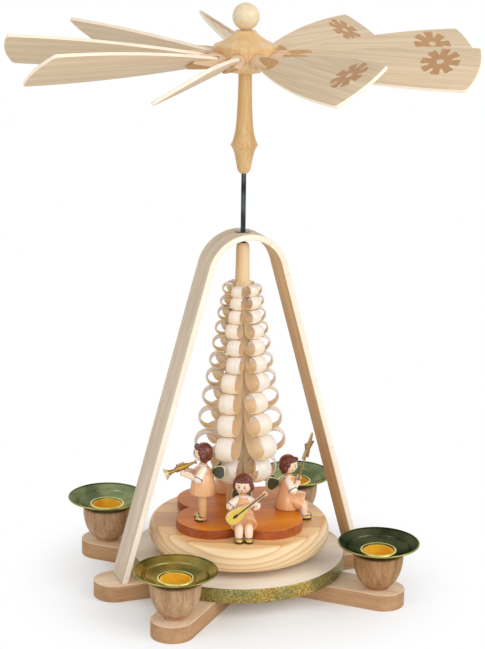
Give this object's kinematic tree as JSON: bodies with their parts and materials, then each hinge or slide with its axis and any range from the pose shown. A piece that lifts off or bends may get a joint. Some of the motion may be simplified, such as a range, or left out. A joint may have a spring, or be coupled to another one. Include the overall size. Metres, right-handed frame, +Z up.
{
  "type": "christmas pyramid",
  "caption": "Wooden carousel with a pitched-blade fan above a bent arch, a turning stage with a shaved tree and angel musicians, and candle cups with brass drip plates.",
  "frame": {"origin": "centre of the underside of the crossed bars, on the table, on the spindle axis", "axes": "+Z up along the spindle, +X in the plane of the arch towards its right foot, +Y to the back"},
  "size_m": [0.2272, 0.2259, 0.289],
  "materials": {
    "beech_bars": "sanded, matt lacquer",
    "maple_disc": "sanded, gold-green painted edge",
    "porcelain": "glazed",
    "bent_ash": "steam bent, sanded",
    "black_bushing": "blackened, gloss",
    "cup_beech": "turned, short-grained",
    "polished_brass": "spun and polished",
    "pine_stage": "turned, satin lacquer",
    "dark_steel": "drawn and blackened",
    "stained_plinth": "orange-brown stain, satin lacquer",
    "shaved_wood": "knife-cut",
    "turned_maple": "turned, satin lacquer",
    "blade_wood": "planed, stencilled flower",
    "gown_wood": "turned and lacquered, painted sleeves and shoes",
    "painted_head": "gloss painted hair, pale face",
    "painted_wings": "gloss dark green, gold edge",
    "gilded_wood": "gold paint"
  },
  "bodies": {
    "base": {"candle_bar_lower": "beech_bars", "candle_bar_upper": "beech_bars", "arch_arm_right": "beech_bars", "arch_arm_left": "beech_bars", "base_disc": "maple_disc", "bearing_cup": "porcelain", "arch_band": "bent_ash", "arch_bushing": "black_bushing", "candle_cup_right_back": "cup_beech", "candle_cup_left_back": "cup_beech", "candle_cup_left_front": "cup_beech", "candle_cup_right_front": "cup_beech", "drip_plate_right_back": "polished_brass", "drip_plate_left_back": "polished_brass", "drip_plate_left_front": "polished_brass", "drip_plate_right_front": "polished_brass"},
    "rotor": {"stage": "pine_stage", "pivot_needle": "dark_steel", "plinth": "stained_plinth", "shaving_tree": "shaved_wood", "spindle_rod": "dark_steel", "fan_shaft": "turned_maple", "fan_hub": "turned_maple", "finial_ball": "turned_maple", "angel_body_trumpet": "gown_wood", "angel_head_trumpet": "painted_head", "angel_wings_trumpet": "painted_wings", "trumpet": "gilded_wood", "angel_body_mandolin": "gown_wood", "angel_head_mandolin": "painted_head", "angel_wings_mandolin": "painted_wings", "mandolin": "gilded_wood", "angel_body_star": "gown_wood", "angel_head_star": "painted_head", "angel_wings_star": "painted_wings", "star_pole": "gilded_wood", "angel_body_flute": "gown_wood", "angel_head_flute": "painted_head", "angel_wings_flute": "painted_wings", "flute": "gilded_wood"},
    "blade_1": {"blade_dowel_1": "turned_maple", "fan_blade_1": "blade_wood"},
    "blade_2": {"blade_dowel_2": "turned_maple", "fan_blade_2": "blade_wood"},
    "blade_3": {"blade_dowel_3": "turned_maple", "fan_blade_3": "blade_wood"},
    "blade_4": {"blade_dowel_4": "turned_maple", "fan_blade_4": "blade_wood"},
    "blade_5": {"blade_dowel_5": "turned_maple", "fan_blade_5": "blade_wood"},
    "blade_6": {"blade_dowel_6": "turned_maple", "fan_blade_6": "blade_wood"},
    "blade_7": {"blade_dowel_7": "turned_maple", "fan_blade_7": "blade_wood"},
    "blade_8": {"blade_dowel_8": "turned_maple", "fan_blade_8": "blade_wood"},
    "blade_9": {"blade_dowel_9": "turned_maple", "fan_blade_9": "blade_wood"}
  },
  "joints": [
    {"name": "rotor_spin", "type": "hinge", "parent": "base", "child": "rotor", "pos_m": [0, 0, 0.0136], "axis": [0, 0, 1], "continuous": true},
    {"name": "blade_1_pitch", "type": "hinge", "parent": "rotor", "child": "blade_1", "pos_m": [0, 0, 0.2628], "axis": [0.6782, -0.7349, 0], "range_deg": [-20, 20]},
    {"name": "blade_2_pitch", "type": "hinge", "parent": "rotor", "child": "blade_2", "pos_m": [0, 0, 0.2628], "axis": [0.9919, -0.1271, 0], "range_deg": [-20, 20]},
    {"name": "blade_3_pitch", "type": "hinge", "parent": "rotor", "child": "blade_3", "pos_m": [0, 0, 0.2628], "axis": [0.8415, 0.5402, 0], "range_deg": [-20, 20]},
    {"name": "blade_4_pitch", "type": "hinge", "parent": "rotor", "child": "blade_4", "pos_m": [0, 0, 0.2628], "axis": [0.2974, 0.9548, 0], "range_deg": [-20, 20]},
    {"name": "blade_5_pitch", "type": "hinge", "parent": "rotor", "child": "blade_5", "pos_m": [0, 0, 0.2628], "axis": [-0.3859, 0.9225, 0], "range_deg": [-20, 20]},
    {"name": "blade_6_pitch", "type": "hinge", "parent": "rotor", "child": "blade_6", "pos_m": [0, 0, 0.2628], "axis": [-0.8886, 0.4587, 0], "range_deg": [-20, 20]},
    {"name": "blade_7_pitch", "type": "hinge", "parent": "rotor", "child": "blade_7", "pos_m": [0, 0, 0.2628], "axis": [-0.9755, -0.2198, 0], "range_deg": [-20, 20]},
    {"name": "blade_8_pitch", "type": "hinge", "parent": "rotor", "child": "blade_8", "pos_m": [0, 0, 0.2628], "axis": [-0.606, -0.7955, 0], "range_deg": [-20, 20]},
    {"name": "blade_9_pitch", "type": "hinge", "parent": "rotor", "child": "blade_9", "pos_m": [0, 0, 0.2628], "axis": [0.0471, -0.9989, 0], "range_deg": [-20, 20]}
  ]
}
